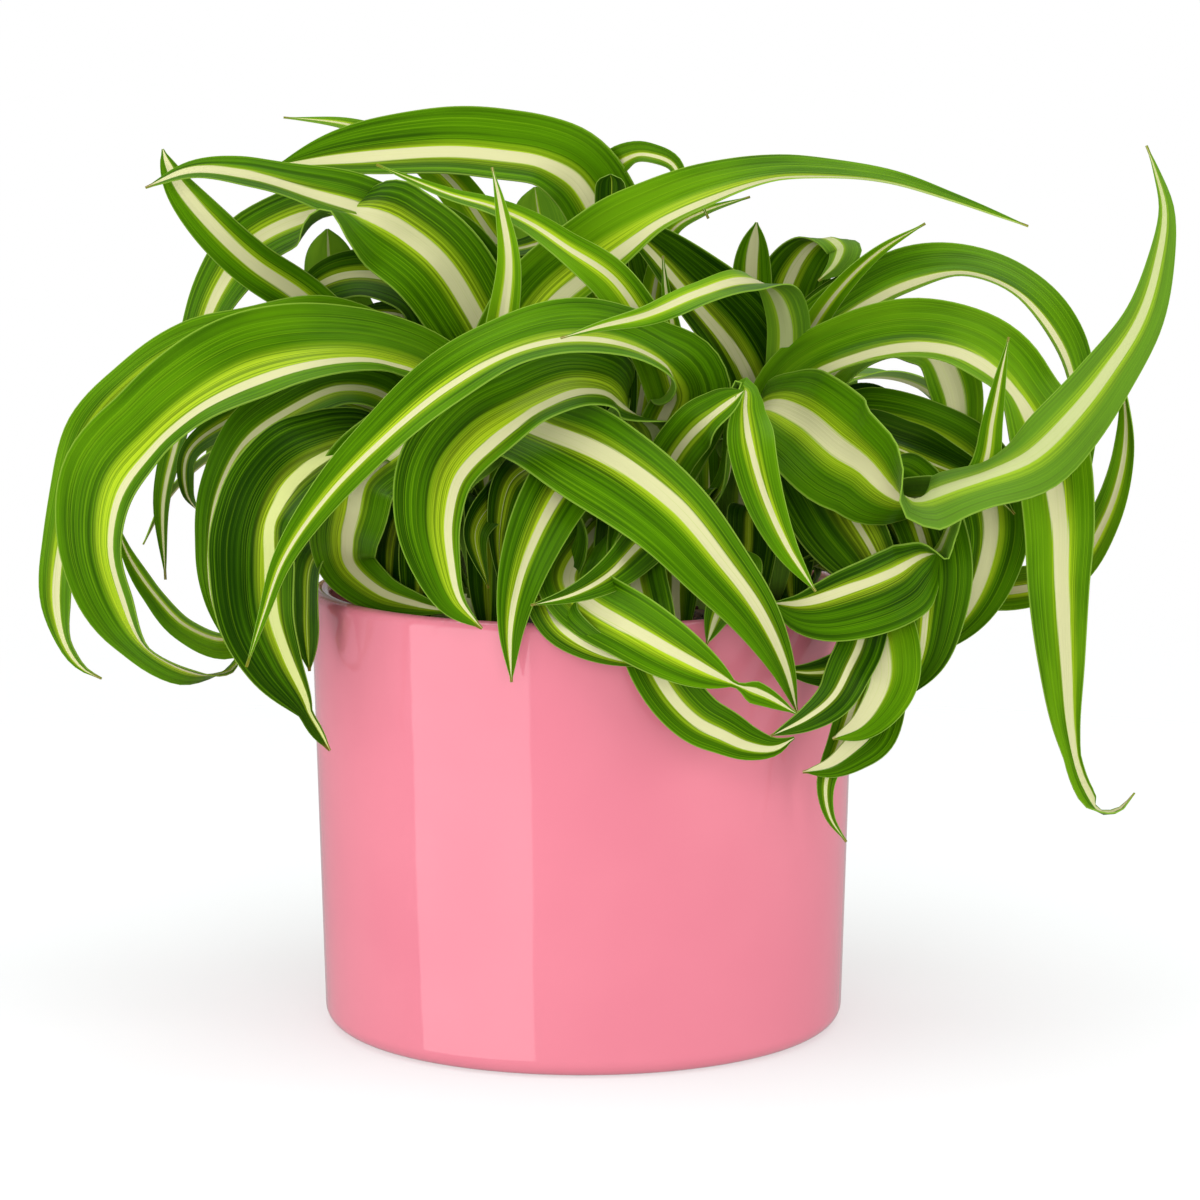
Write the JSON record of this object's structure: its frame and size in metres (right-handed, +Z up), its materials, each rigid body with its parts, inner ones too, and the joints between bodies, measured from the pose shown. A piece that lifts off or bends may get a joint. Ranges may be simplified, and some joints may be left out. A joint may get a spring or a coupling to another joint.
{
  "type": "potted spider plant",
  "caption": "Variegated spider plant with arching, curling striped leaves in a plain glazed cylindrical pot that stands on a flat base.",
  "frame": {"origin": "centre of the pot's flat underside, on the surface it stands on", "axes": "+Z up, -Y towards the front that the picture shows, +X to the right of it"},
  "size_m": [0.2812, 0.2419, 0.2353],
  "materials": {
    "pot_glaze": "smooth pink glaze on ceramic, high gloss",
    "potting_soil": "moist dark potting soil, matt and crumbly",
    "leaf_blade": "satin leaf, green margins with a cream and yellow-green centre stripe"
  },
  "bodies": {
    "root": {"pot": "pot_glaze", "soil": "potting_soil", "left_front_rosette": "leaf_blade", "left_rosette": "leaf_blade", "centre_rosette": "leaf_blade", "right_front_rosette": "leaf_blade", "right_rosette": "leaf_blade", "back_left_rosette": "leaf_blade", "back_rosette": "leaf_blade", "back_right_rosette": "leaf_blade"}
  },
  "joints": []
}
